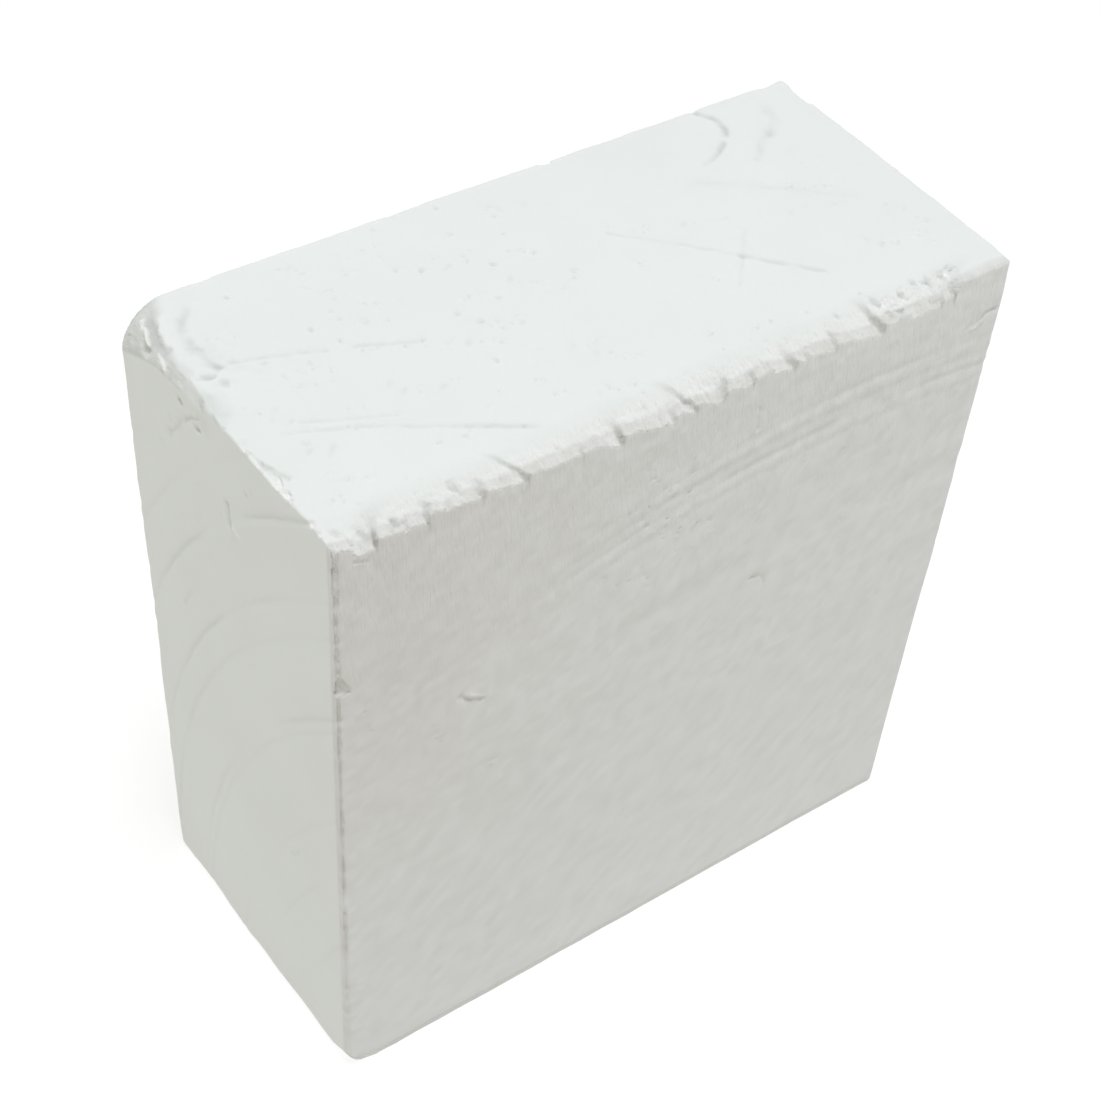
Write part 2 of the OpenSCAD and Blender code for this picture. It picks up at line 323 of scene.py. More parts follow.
# Streaks of fine pits: how many on each face, and the region (low u, low v, high u, high v) that holds them
PIT_STREAKS = [
    ("top", 58, (-27.5, -12.0, 2.0, 12.5)),
    ("top", 16, (2.0, -12.5, 28.0, 4.0)),
    ("front", 22, (-7.0, 46.0, 2.0, 58.0)),
    ("front", 14, (-28.0, 30.0, 27.0, 60.0)),
    ("left", 12, (-12.0, 48.0, 11.0, 61.0)),
    ("back", 34, (-27.0, 4.0, 27.0, 60.0)),
    ("right", 12, (-12.0, 4.0, 12.0, 60.0)),
    ("bottom", 8, (-26.0, -12.0, 26.0, 12.0)),
]
PITS_PER_STREAK = (2, 7)  # at least the first number, and fewer than the second
STREAK_LENGTH = 2.6
STREAK_WIDTH = 0.44
PIT_RADII = (0.09, 0.18)
STREAK_ANGLE = {"top": -30, "front": -70, "left": 50, "back": 20, "right": -50, "bottom": 30}  # degrees

# Grooves and ridges of the crushed corner: (points, width, depth). A point is its distances from the left
# end, from the back and below the top; a negative depth is a ridge.
CRUSH = [
    ([(1.4, 2.2, 0.6), (1.3, 3.1, 0.5), (0.8, 4.5, 0.6), (0.9, 5.9, 0.3)], 0.34, 0.3),
    ([(0.9, 5.9, 0.2), (0.8, 7.8, 0.2), (0.5, 9.8, 0.3), (0.4, 11.4, 0.4)], 0.44, 0.2),
    ([(2.2, 2.8, 0.1), (1.7, 4.4, 0.1), (1.5, 5.8, 0.0), (1.2, 8.1, 0.0), (1.7, 9.7, 0.0),
      (2.1, 9.9, 0.0)], 0.36, -0.22),
    ([(1.2, 1.4, 0.8), (0.7, 2.6, 1.0), (0.5, 3.6, 1.0)], 0.3, -0.26),
    ([(0.4, 3.3, 1.5), (0.3, 3.9, 1.4)], 0.26, 0.42),
    ([(4.0, 2.6, 0.0), (3.2, 3.6, 0.0), (2.5, 5.1, 0.1), (2.1, 6.5, 0.0), (2.4, 7.6, 0.0),
      (2.7, 9.6, 0.0)], 0.36, 0.22),
    ([(2.3, 6.9, 0.2), (2.7, 7.6, 0.3)], 0.22, 0.6),
    ([(1.2, 9.9, 0.2), (1.7, 10.0, 0.2), (2.2, 10.1, 0.2)], 0.2, 0.55),
    ([(2.1, 10.9, 0.0), (2.5, 11.3, 0.0)], 0.2, 0.35),
    ([(2.7, 9.2, 0.0), (2.9, 9.5, 0.0)], 0.2, 0.4),
    ([(1.7, 10.6, 0.0), (2.3, 10.7, 0.0), (3.2, 11.0, 0.0)], 0.3, -0.2),
    ([(0.1, 8.7, 2.1), (0.1, 9.0, 2.3)], 0.26, 0.4),
    ([(0.0, 6.4, 7.0), (0.0, 8.5, 4.3), (0.0, 10.3, 2.7), (0.0, 11.2, 2.1)], 0.24, 0.22),
    ([(0.0, 11.3, 1.4), (0.0, 12.0, 2.2)], 0.8, 0.08),
    ([(0.0, 10.8, 3.3), (0.0, 11.5, 3.0)], 0.24, 0.3),
    ([(0.5, 11.9, 0.3), (0.4, 13.7, 0.3)], 0.7, 0.25),
    ([(0.5, 5.4, 0.8), (0.4, 5.9, 0.9), (0.1, 6.9, 1.1)], 0.28, -0.22),
]
CRUSH_REACH, CRUSH_LENGTH = 9.0, 18.0  # how far the corner's marks may lie from the edge and from the back
CRUSH_RUBBLE = (2.4, 9.0, 0.0)  # where the crushed corner is roughest, measured in the same way
RUBBLE_RADIUS = 4.5
CORNER_SHADE_RIDGE = 8.0  # how fast a ridge, by its height in mm, loses the painted shade that greys the crushed corner around it

FRONT_LEAN = 0.14  # at the right, the front leans back by this much under the top
CREVICE_SHADE_DEPTH = 0.4  # marks this deep get the full painted crevice shade


# ------------------------------------------------ small maths

def smooth(low, high, x):
    """0 on the low side, 1 on the high side, and an S-curve between."""
    t = np.clip((x - low) / (high - low), 0.0, 1.0)
    return t * t * (3.0 - 2.0 * t)


def unit(v):
    return np.asarray(v, float) / np.linalg.norm(v)


def scatter(i, j, k, seed):
    """A fixed value in -1..1 for each lattice point."""
    h = (i * 374761393 + j * 668265263 + k * 1440662683 + seed * 69069069) & 0xFFFFFFFF
    h = ((h ^ (h >> 13)) * 1274126177) & 0xFFFFFFFF
    h = h ^ (h >> 16)
    return (h & 0xFFFF) / 32767.5 - 1.0


def noise(points, cell, seed):
    """Smooth noise in about -1..1 with features of the given size; cell may be one size or one per axis."""
    q = points / np.asarray(cell, float)
    base = np.floor(q).astype(np.int64)
    f = q - base
    f = f * f * f * (f * (f * 6.0 - 15.0) + 10.0)
    total = np.zeros(len(q))
    for corner in range(8):
        step = np.array([corner & 1, corner >> 1 & 1, corner >> 2 & 1])
        weight = np.prod(np.where(step == 1, f, 1.0 - f), axis=1)
        total += weight * scatter(*(base + step).T, seed)
    return total


def rough(points, layers):
    """The sum of several layers of noise, each given as (height, size of its features, seed)."""
    return sum(height * noise(points, cell, seed) for height, cell, seed in layers)


def line_noise(t, cell, seed):
    """Noise that varies along one number only."""
    zero = np.zeros_like(t)
    return noise(np.stack([t, zero, zero], axis=1), cell, seed)


def line_distance(points, line):
    """Distance from each point to a line through several points, in two or three dimensions."""
    nearest = np.full(len(points), np.inf)
    for start, end in zip(np.array(line, float), np.array(line[1:], float)):
        step = end - start
        share = np.clip((points - start) @ step / (step @ step), 0.0, 1.0)
        nearest = np.minimum(nearest, np.linalg.norm(points - start - share[:, None] * step, axis=1))
    return nearest


# ------------------------------------------------ the CAD block

def saw_planes(node):
    """The six sawn faces as {name: (outward normal, distance in mm)}: the largest flat on each side."""
    areas = {}
    for face in node.data.polygons:
        normal = np.array(face.normal)
        distance = float(np.array(face.center) @ normal) / MM
        key = (*normal.round(3), round(distance, 2))
        area = areas.get(key, (0.0,))[0] + face.area
        areas[key] = (area, normal, distance)
    planes = {}
    for name, axis, sign in SIDES:
        facing = [entry for entry in areas.values() if entry[1][axis] * sign > 0.99]
        planes[name] = max(facing, key=lambda entry: entry[0])[1:]
    return planes


LOW, HIGH = (np.array(corner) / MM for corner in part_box(NODE))
PLANES = saw_planes(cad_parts[NODE])
ALONG = {name: axis for name, axis, _ in SIDES}


def depths(points):
    """How far each point lies below each sawn face."""
    return {name: distance - points @ normal for name, (normal, distance) in PLANES.items()}


def in_plane(points, face):
    """The points' u and v on a face, one row each."""
    signs = {"+": 1.0, "-": -1.0}
    return np.stack([signs[name[0]] * points[:, AXES[name[1]]] for name in FACE_AXES[face]], axis=1)


def near_edge(depth, a, b, band):
    """Which points lie less than the band's width below both face a and face b."""
    return np.flatnonzero((depth[a] < band) & (depth[b] < band))


def along_edge(points, a, b):
    """Place along the edge between faces a and b: the coordinate that neither face fixes."""
    return points[:, 3 - ALONG[a] - ALONG[b]]


# ------------------------------------------------ the worn solid

def corner_radius(points, a, b, radius):
    """The radius of an edge's round, which grows towards the two worn corners of the left end."""
    if (a, b) == ("left", "top"):
        share = np.clip((points[:, 1] - HIGH[1]) / TOP_CORNER_RUN + 1.0, 0.0, 1.0) ** TOP_CORNER_FADE
        return radius + (TOP_CORNER_RADIUS - radius) * share
    if (a, b) == ("left", "bottom"):
        share = np.clip(1.0 - (points[:, 1] - LOW[1]) / FOOT_CORNER_RUN, 0.0, 1.0)
        return radius + (FOOT_CORNER_RADIUS - radius) * share
    return radius


def teeth(p, back):
    """How far the crumbled edge is worn down at each point, and how nearly that lies on a tooth's wall."""
    drift = rough(p, TOOTH_DRIFT)
    drop, wall = np.full(len(p), TEETH[0][1]), np.zeros(len(p))
    for (start, first, last, skew, soft), (end, *_) in zip(TEETH, TEETH[1:]):
        s = p[:, 0] - LOW[0] - start + drift + back * math.tan(math.radians(skew))
        width = TOOTH_WALL + soft * back * back
        step = np.maximum(drop - first, 0.0) * TOOTH_WALL / width
        wall = np.maximum(wall, step * np.exp(-((s - width / 2) / width) ** 2))
        ramp = first + (last - first) * np.clip(s / (end - start), 0.0, 1.0)
        drop = drop + (ramp - drop) * smooth(0.0, 1.0, s / width)
    return drop, wall


def dimples(p, back):
    """How deep the small extra nicks are where each point lies."""
    total = np.zeros(len(p))
    for place, behind, half, deep in DIMPLES:
        along = p[:, 0] - LOW[0] - place + 0.5 * (back - behind)
        away = np.hypot(along / half, (back - behind) / (1.6 * half)) * (1.0 + 0.35 * noise(p, 0.3, 314))
        total = np.maximum(total, deep * (1.0 - away))
    return total


def crumbled(p, back, down, from_right):
    """How far each point lies outside the crumbled top front edge."""
    sound = smooth(SOUND_LENGTH + 0.5, SOUND_LENGTH - 0.3, from_right + 0.3 * noise(p, 0.7, 300))
    reach = CRUMBLE_BACK + rough(p, CRUMBLE_DRIFT)
    reach = reach + (SOUND_BACK - reach) * sound
    patch = (0.3 + 0.7 * smooth(-0.4, 0.4, noise(p, (4.5, 9.0, 9.0), 305))) * (1.0 - 0.8 * sound)
    drop, _ = teeth(p, back)
    wear = drop + patch * rough(p, STRIAE) + 0.12 * noise(p, 0.8, 302)
    wear *= np.clip(1.0 - back / reach, 0.0, 1.0) ** CRUMBLE_CURVE
    out = 0.85 * (wear - down)
    out = np.maximum(out, wear + dimples(p, back) - down)
    edge = SPALL_BACK + rough(p, SPALL_DRIFT) - back
    inside = np.minimum(p[:, 0] - SPALL_FROM, SPALL_TO + SPALL_LEAN * back - p[:, 0])
    inside += 0.3 * noise(p, 0.6, 323)
    floor = SPALL_WALL + SPALL_SLOPE * np.maximum(edge, 0.0) + rough(p, SPALL_FLOOR) - down
    return np.maximum(out, np.minimum(np.minimum(edge, inside), floor + dimples(p, back)))


def top_bevel(p, aside, down):
    """How far each point lies outside the steep bevel of the crushed corner."""
    across, drop = (reach * (1.0 + rough(p, BEVEL_DRIFT)) for reach in TOP_BEVEL)
    share = smooth(TOP_BEVEL_FROM - 4.0, TOP_BEVEL_FROM + 5.0, p[:, 1])
    share *= smooth(TOP_BEVEL_TO + 1.0, TOP_BEVEL_TO - 3.0, p[:, 1])
    return (share - aside / across - down / drop) * across * drop / np.hypot(across, drop)


def arris_groove(p, aside, behind):
    """How far each point lies inside the dark groove on the front, next to the upright edge at the left."""
    heights, widths, deeps = (np.array(column)[::-1] for column in zip(*ARRIS_GROOVE))
    z = p[:, 2] + 0.12 * noise(p, 0.6, 330)
    width = np.interp(z, heights, widths) * (1.0 + 0.25 * noise(p, 0.7, 331))
    deep = np.interp(z, heights, deeps) * (1.0 + 0.3 * noise(p, 0.6, 332))
    share = (aside - 0.08) / np.maximum(width, 0.05)
    profile = smooth(-0.15, 0.12, share) * np.clip(1.0 - share, 0.0, 1.0) ** 0.7
    return deep * profile - behind


def outside(p):
    """How far each point lies outside the worn block, in mm; negative inside it."""
    depth = depths(p)
    out = -np.min(list(depth.values()), axis=0)
    for number, (a, b, radius, chip, size) in enumerate(EDGE_WEAR):
        near = near_edge(depth, a, b, EDGE_BAND)
        spot, below_a, below_b = p[near], depth[a][near], depth[b][near]
        worn = corner_radius(spot, a, b, radius * (1.0 + 0.35 * noise(spot, 2.5, 200 + number)))
        rounded = np.hypot(np.maximum(worn - below_a, 0.0), np.maximum(worn - below_b, 0.0)) - worn
        bite = noise(spot, size, 220 + number) + 0.25 * noise(spot, size / 3, 240 + number)
        chipped = chip * smooth(0.05, 0.85, bite) + 0.28 * radius - (below_a + below_b) * math.sqrt(0.5)
        out[near] = np.maximum(out[near], np.maximum(rounded, chipped))
    for a, b, place, half, deep_a, deep_b in SINGLE_CHIPS:
        near = near_edge(depth, a, b, EDGE_BAND)
        spot = p[near]
        ragged = 1.0 + rough(spot, CHIP_DRIFT)
        s = (along_edge(spot, a, b) - place) / half
        away = np.sqrt(s * s + (depth[b][near] / deep_b) ** 2 + (depth[a][near] / deep_a) ** 2)
        out[near] = np.maximum(out[near], (ragged - away) * min(deep_a, deep_b, half))
    near = near_edge(depth, "left", "top", EDGE_BAND)
    near = near[p[near, 1] > 0.0]
    out[near] = np.maximum(out[near], top_bevel(p[near], depth["left"][near], depth["top"][near]))
    near = near_edge(depth, "front", "top", EDGE_BAND)
    sides = [depth[name][near] for name in ("front", "top", "right")]
    out[near] = np.maximum(out[near], crumbled(p[near], *sides))
    near = near_edge(depth, "front", "left", GROOVE_BAND)
    out[near] = np.maximum(out[near], arris_groove(p[near], depth["left"][near], depth["front"][near]))
    return out


def worn_surface(box_points):
    """Where a ray outward through each point of the box leaves the worn block, and the ray's direction."""
    core = np.clip(box_points, LOW + CORE_INSET, HIGH - CORE_INSET)
    way = box_points - core
    way /= np.linalg.norm(way, axis=1)[:, None]
    reach = np.full(len(core), np.inf)
    for normal, distance in PLANES.values():
        facing = way @ normal
        ahead = facing > 0.01
        reach[ahead] = np.minimum(reach[ahead], (distance - core[ahead] @ normal) / facing[ahead])
    flat = core + way * reach[:, None]
    second = np.sort(np.stack(list(depths(flat).values())), axis=0)[1]
    near = np.flatnonzero(second < EDGE_BAND)
    low, high = np.zeros(len(near)), reach[near]
    start, heading = core[near], way[near]
    for _ in range(HALVINGS):
        middle = (low + high) / 2.0
        inside = outside(start + heading * middle[:, None]) < 0.0
        low, high = np.where(inside, middle, low), np.where(inside, high, middle)
    at_low = outside(start + heading * low[:, None])
    at_high = outside(start + heading * high[:, None])
    share = np.clip(at_low / np.minimum(at_low - at_high, -1e-6), 0.0, 1.0)
    reach[near] = low + (high - low) * share
    return core + way * reach[:, None], way


# ------------------------------------------------ where the pits are

def all_pits():
    """Every pit of each face, listed or scattered in streaks, as (u, v, radius)."""
    rng = np.random.default_rng(11)
    pits = {face: list(PITS.get(face, [])) for face in FACE_AXES}
    for face, count, (low_u, low_v, high_u, high_v) in PIT_STREAKS:
        for _ in range(count):
            u, v = rng.uniform(low_u, high_u), rng.uniform(low_v, high_v)
            angle = math.radians(STREAK_ANGLE[face] + rng.normal(0.0, 12.0))
            for _ in range(rng.integers(*PITS_PER_STREAK)):
                along, across = rng.normal(0.0, STREAK_LENGTH / 2), rng.normal(0.0, STREAK_WIDTH / 2)
                pits[face].append((
                    u + along * math.cos(angle) - across * math.sin(angle),
                    v + along * math.sin(angle) + across * math.cos(angle),
                    rng.uniform(*PIT_RADII),
                ))
    return pits


ALL_PITS = all_pits()


def saw_travel(spots, mark):
    """How far the blade had travelled when it passed each spot of a face."""
    forward = unit(mark["feed"])
    off = spots - np.array(mark["centre"])
    across = off[:, 1] * forward[0] - off[:, 0] * forward[1]
    return off @ forward + np.sqrt(np.maximum(mark["radius"] ** 2 - across ** 2, 1.0))


# ------------------------------------------------ how fine the mesh is

def wanted_size(points):
    """The largest cell side, in mm, that each place on the box may have."""
    depth = depths(points)
    size = np.full(len(points), COARSE)
    size[depth["bottom"] < FOOT_CELLS] = COARSEST

    def refine(where, side):
        size[where] = np.minimum(size[where], side)

    for side, ends, starts in CELL_ZONES:
        limits = [depth[face] < limit for face, limit in ends.items()]
        limits += [depth[face] > limit for face, limit in starts.items()]
        refine(np.all(limits, axis=0), side)
    for a, b, *_ in EDGE_WEAR:
        band = EDGE_CELLS if {a, b} & {"left", "top"} else PLAIN_EDGE_CELLS
        refine(near_edge(depth, a, b, band), FINE)
    for a, b, place, half, deep_a, deep_b in SINGLE_CHIPS:
        close = np.abs(along_edge(points, a, b) - place) < half + CHIP_MARGIN
        close &= (depth[a] < deep_a + CHIP_MARGIN) & (depth[b] < deep_b + CHIP_MARGIN)
        refine(close, FINEST)
    for face in FACE_AXES:
        there = np.flatnonzero(depth[face] < PIT_BAND)
        spots = in_plane(points[there], face)
        marked = FINE if face in HIDDEN_FACES else FINEST
        for line, width, _ in SCRATCHES.get(face, []):
            refine(there[line_distance(spots, line) < SCRATCH_MARGIN * width], marked)
        for u, v, radius in ALL_PITS[face]:
            close = np.hypot(spots[:, 0] - u, spots[:, 1] - v) < radius + PIT_MARGIN
            refine(there[close], marked)
        travel = saw_travel(spots, SAW_MARKS[face])
        for groove, _, width in SAW_MARKS[face]["grooves"]:
            if width <= FINE_GROOVE:
                refine(there[np.abs(travel - groove) < GROOVE_MARGIN * width], FINE)
    return size


class Grid:
    """Square cells of different sizes over the six sides of the box, on one lattice of whole numbers."""

    def __init__(self):
        self.roots = np.maximum(1, np.round((HIGH - LOW) / (FINEST * ROOT_UNITS))).astype(int)
        self.units = self.roots * ROOT_UNITS
        self.cells = []
        for axis in range(3):
            for side in (0, 1):
                self.cells += self.split_side(axis, side)

    def place(self, lattice):
        """Lattice points as points on the box."""
        return LOW + lattice / self.units * (HIGH - LOW)

    def code(self, lattice):
        """One whole number for each lattice point."""
        _, height, width = self.units + 1
        return (lattice[..., 0] * height + lattice[..., 1]) * width + lattice[..., 2]

    def split_side(self, axis, side):
        """The cells of one side of the box, as (low corners, step along u, step along v, size in units)."""
        u, v = (axis + 1) % 3, (axis + 2) % 3
        grid = np.meshgrid(np.arange(self.roots[u]), np.arange(self.roots[v]), indexing="ij")
        corners = np.zeros((grid[0].size, 3), int)
        corners[:, axis] = side * self.units[axis]
        corners[:, u], corners[:, v] = (g.ravel() * ROOT_UNITS for g in grid)
        step_u, step_v = np.eye(3, dtype=int)[u], np.eye(3, dtype=int)[v]
        if side == 0:
            step_u, step_v = step_v, step_u
        done, size = [], ROOT_UNITS
        while size > 1:
            centres = self.place(corners + (step_u + step_v) * size / 2)
            too_big = size * FINEST > wanted_size(centres) * 1.01
            done.append((corners[~too_big], step_u, step_v, size))
            size //= 2
            parents = corners[too_big]
            shifts = [0 * step_u, step_u * size, step_v * size, (step_u + step_v) * size]
            corners = np.concatenate([parents + shift for shift in shifts])
        done.append((corners, step_u, step_v, size))
        return [cells for cells in done if len(cells[0])]

    def faces(self):
        """Lattice points and polygons. A cell whose neighbours are finer becomes a fan about its middle."""
        rings = [
            (corners[:, None] + np.array([0 * u, u, u + v, v]) * size, corners, u, v, size)
            for corners, u, v, size in self.cells
        ]
        used = np.unique(np.concatenate([self.code(ring).ravel() for ring, *_ in rings]))
        polygons, middles = [], []
        for ring, corners, u, v, size in rings:
            steps = np.arange(1, size)[:, None]
            sides = [(0, u), (u, v), (u + v, -u), (v, -v)]
            between = [
                self.code(corners[:, None] + start * size + steps * way) for start, way in sides
            ]
            taken = [np.isin(codes, used) for codes in between]
            split = np.any([t.any(axis=1) for t in taken], axis=0)
            polygons += self.code(ring[~split]).tolist()
            for i in np.flatnonzero(split):
                middle = corners[i] + (u + v) * size // 2
                middles.append(middle)
                rim = []
                for side in range(4):
                    rim.append(int(self.code(ring[i, side])))
                    rim += between[side][i][taken[side][i]].tolist()
                hub = int(self.code(middle))
                polygons += [[hub, a, b] for a, b in zip(rim, rim[1:] + rim[:1])]
        codes = np.unique(np.concatenate([used, self.code(np.array(middles))]))
        _, height, width = self.units + 1
        lattice = np.stack([codes // (height * width), codes // width % height, codes % width], axis=1)
        index = {int(code): i for i, code in enumerate(codes)}
        return lattice, [[index[code] for code in polygon] for polygon in polygons]


# ------------------------------------------------ relief on the surface

def saw_relief(points, depth):
    """The blade's marks: how deep each point is cut below its sawn face."""
    total = np.zeros(len(points))
    for number, (face, mark) in enumerate(SAW_MARKS.items()):
        there = np.flatnonzero(depth[face] < MARK_BAND)
        spot = points[there]
        travel = saw_travel(in_plane(spot, face), mark)
        patch = smooth(-0.5, 0.6, noise(spot, 14.0, 40 + number))
        cut = 0.011 * line_noise(travel, 3.1, 50 + number) + 0.004 * line_noise(travel, 1.8, 60 + number)
        cut = cut * mark["strength"] * (0.3 + 0.7 * patch)
        ragged = travel + rough(spot, GROOVE_DRIFT)
        for groove, deep, width in mark["grooves"]:
            strength = smooth(-0.75, 0.35, noise(spot, 9.0, int(80 + 10 * abs(groove))))
            course = ragged if width <= FINE_GROOVE else travel
            cut = cut + deep * strength * np.exp(-((course - groove) / width) ** 2)
        if face == "right":
            cut = cut * smooth(0.5, 6.0, depth["front"][there])
        if face == "front":
            cut = cut * (0.25 + 0.75 * smooth(-14.0, 4.0, spot[:, 0])) * smooth(18.0, 34.0, spot[:, 2])
        total[there] += cut * smooth(0.5, 0.1, depth[face][there])
    return total


def scratch_relief(points, depth):
    """How deep the scratches are where each point lies."""
    total = np.zeros(len(points))
    for face, scratches in SCRATCHES.items():
        there = np.flatnonzero(depth[face] < MARK_BAND)
        spot = points[there]
        waver = np.stack([noise(spot, 0.9, 90), noise(spot, 0.9, 91)], axis=1)
        uneven = 0.6 + 0.4 * noise(spot, 0.7, 92)
        for line, width, deep in scratches:
            away = line_distance(in_plane(spot, face) + 0.10 * waver, line)
            total[there] += deep * uneven * np.exp(-(away / width) ** 2)
    return total


def pit_relief(points, depth):
    """How deep the pits are where each point lies."""
    total = np.zeros(len(points))
    for face in FACE_AXES:
        there = np.flatnonzero(depth[face] < PIT_BAND)
        spot = points[there]
        waver = np.stack([noise(spot, 0.35, 95), noise(spot, 0.35, 96)], axis=1)
        u, v = (in_plane(spot, face) + 0.16 * waver).T
        for pit_u, pit_v, radius in ALL_PITS[face]:
            away = np.hypot(u - pit_u, v - pit_v) / radius
            close = away < 1.0
            total[there[close]] += PIT_DEPTH[face] * radius * (1.0 - away[close] ** 2) ** 1.5
    return total


def fracture_relief(points, depth):
    """Broken chalk: crumbs on every worn place, twice as high in the spall."""
    least, _ = two_least_depths(depth)
    broken = smooth(0.08, 0.4, least) * (1.0 - 0.65 * smooth(1.0, 4.0, points[:, 1]))
    spall = smooth(SPALL_FROM, SPALL_FROM + 1.0, points[:, 0])
    spall *= smooth(SPALL_TO + 0.5, SPALL_TO, points[:, 0])
    return broken * rough(points, CRUMBS) * (1.0 + spall)


def crush_relief(points, depth):
    """The grooves, ridges and rubble of the crushed corner."""
    total = np.zeros(len(points))
    from_back = HIGH[1] - points[:, 1]
    near = (depth["left"] < CRUSH_REACH) & (from_back < CRUSH_LENGTH) & (depth["top"] < CRUSH_REACH)
    there = np.flatnonzero(near)
    spot = points[there]
    ragged = np.stack([depth["left"][there], from_back[there], depth["top"][there]], axis=1)
    ragged += 0.22 * np.stack([noise(spot, 0.9, seed) for seed in (160, 161, 162)], axis=1)
    ragged += 0.07 * np.stack([noise(spot, 0.3, seed) for seed in (164, 165, 166)], axis=1)
    for line, width, deep in CRUSH:
        uneven = 0.75 + 0.35 * noise(spot, 0.9, 163)
        total[there] += deep * uneven * np.exp(-(line_distance(ragged, line) / width) ** 2)
    rubble = smooth(RUBBLE_RADIUS, 1.5, np.linalg.norm(ragged - np.array(CRUSH_RUBBLE), axis=1))
    total[there] += rubble * rough(spot, RUBBLE)
    return total


def even_relief(points, depth):
    """The gentle unevenness of every face; at the right, the front leans back a little under the top."""
    lean = FRONT_LEAN * smooth(3.6, 0.2, depth["top"]) * smooth(2.0, 14.0, points[:, 0])
    return lean * smooth(3.2, 0.0, depth["front"]) + rough(points, UNEVENNESS)


def two_least_depths(depth):
    """Each point's depths below the face it is nearest to and below the next one."""
    return np.sort(np.stack(list(depth.values())), axis=0)[:2]


def build_surface(box_points):
    """Each point of the box, moved onto the chalk's surface, and what the material needs to know there."""
    points, way = worn_surface(box_points)
    depth = depths(points)
    marks = scratch_relief(points, depth) + pit_relief(points, depth)
    crush, saw = crush_relief(points, depth), saw_relief(points, depth)
    cut = marks + crush + saw + fracture_relief(points, depth) + even_relief(points, depth)
    stand = smooth(0.5, 0.0, depth["bottom"])  # next to the foot, nothing stands out below the block
    cut = cut * (1.0 - stand) + np.maximum(cut, 0.0) * stand
    # painted shade: scratches, pits, the crushed corner's grooves, saw marks and the crumbled edge's walls
    # and nicks are darkened in the colour, as if shade fell there
    crevice_shade_amount = marks + 0.8 * crush + 0.6 * saw + 0.7 * tooth_walls(points, depth)
    # painted shade over the crushed corner, left off its ridges
    grey = pressed(points, depth) - CORNER_SHADE_RIDGE * np.maximum(-crush, 0.0)
    shades = dict(
        painted_crevice_shade=np.clip(crevice_shade_amount / CREVICE_SHADE_DEPTH, 0.0, 1.0),
        pressed=np.clip(grey, 0.0, 1.0),
        fresh=fresh(depth),
        grain=grain(depth),
    )
    shades["stain"], shades["edge_dirt_and_shade"] = stain(points, depth)
    return points - way * cut[:, None], shades


def tooth_walls(points, depth):
    """How nearly each point lies on a wall or in a nick of the crumbled edge, where painted shade goes."""
    _, wall = teeth(points, depth["front"])
    wall = wall + dimples(points, depth["front"])
    return wall * smooth(2.6, 1.2, depth["top"]) * smooth(3.2, 1.4, depth["front"])


def fresh(depth):
    """Where the worn edges show fresh, whiter chalk."""
    least, second = two_least_depths(depth)
    return smooth(0.005, 0.06, least) * smooth(0.0, 0.6, depth["top"]) * smooth(3.0, 2.0, second)


def grain(depth):
    """Where the fine upright grain is plain: high on the front, and on the worn edges off the front."""
    least, _ = two_least_depths(depth)
    on_front = smooth(0.6, 0.3, depth["front"]) * smooth(24.0, 2.0, depth["top"])
    return on_front + smooth(0.1, 0.4, least) * smooth(0.3, 0.6, depth["front"])


def pressed(points, depth):
    """Where the crushed corner is greyed with painted shade: below the top and off the left end face."""
    from_back = HIGH[1] - points[:, 1]
    patch = smooth(0.01, 0.07, depth["left"]) * smooth(0.03, 0.45, depth["top"])
    patch *= smooth(15.0, 11.5, from_back) * smooth(5.0, 3.0, depth["left"]) * smooth(5.0, 3.5, depth["top"])
    return patch * (0.85 + 0.25 * noise(points, 0.8, 185))


def stain(points, depth):
    """Where handling has left the front face and its left edge a little brown; in the groove beside that
    edge the darkening is brown dirt and painted shade.
    """
    patch = smooth(34.0, 2.0, depth["left"]) * smooth(52.0, 4.0, depth["top"])
    patch *= smooth(0.12, 0.04, depth["front"])
    patch *= 0.75 + 0.35 * noise(points, 8.0, 180)
    groove = smooth(-0.10, 0.10, arris_groove(points, depth["left"], np.zeros(len(points))))
    groove *= smooth(0.9, 0.6, depth["front"]) * (0.75 + 0.35 * noise(points, 0.7, 181))
    return np.clip(patch, 0.0, 1.0), np.clip(groove, 0.0, 1.0)


def store(mesh, name, values):
    """Keeps one number per vertex on the mesh, for the material to read."""
    attribute = mesh.attributes.new(name, "FLOAT", "POINT")
    attribute.data.foreach_set("value", np.asarray(values, np.float32))


def make_block():
    """The worn block as one mesh."""
    grid = Grid()
    lattice, polygons = grid.faces()
    points, shades = build_surface(grid.place(lattice))
    mesh = bpy.data.meshes.new("chalk")
    mesh.from_pydata((points * MM).tolist(), [], polygons)
    mesh.polygons.foreach_set("use_smooth", np.ones(len(mesh.polygons), bool))
    for name, values in shades.items():
        store(mesh, name, values)
    mesh.update()
    block = bpy.data.objects.new("chalk_block_visual", mesh)
    bpy.context.scene.collection.objects.link(block)
    return block


# ------------------------------------------------ material

CHALK = (0.875, 0.878, 0.872, 1.0)
CHALK_SHADE = (0.845, 0.848, 0.840, 1.0)
FRESH_CHALK = (0.885, 0.880, 0.868, 1.0)
# the colour of the painted shade in crevices
PAINTED_CREVICE_SHADE = (0.52, 0.52, 0.495, 1.0)
# the grey of the painted shade on the crushed corner
CORNER_SHADE_COLOR = (0.66, 0.66, 0.64, 1.0)
STAIN = (0.83, 0.80, 0.775, 1.0)
# brown dirt and painted shade in the groove beside the left upright edge
EDGE_DIRT_AND_SHADE = (0.60, 0.56, 0.53, 1.0)

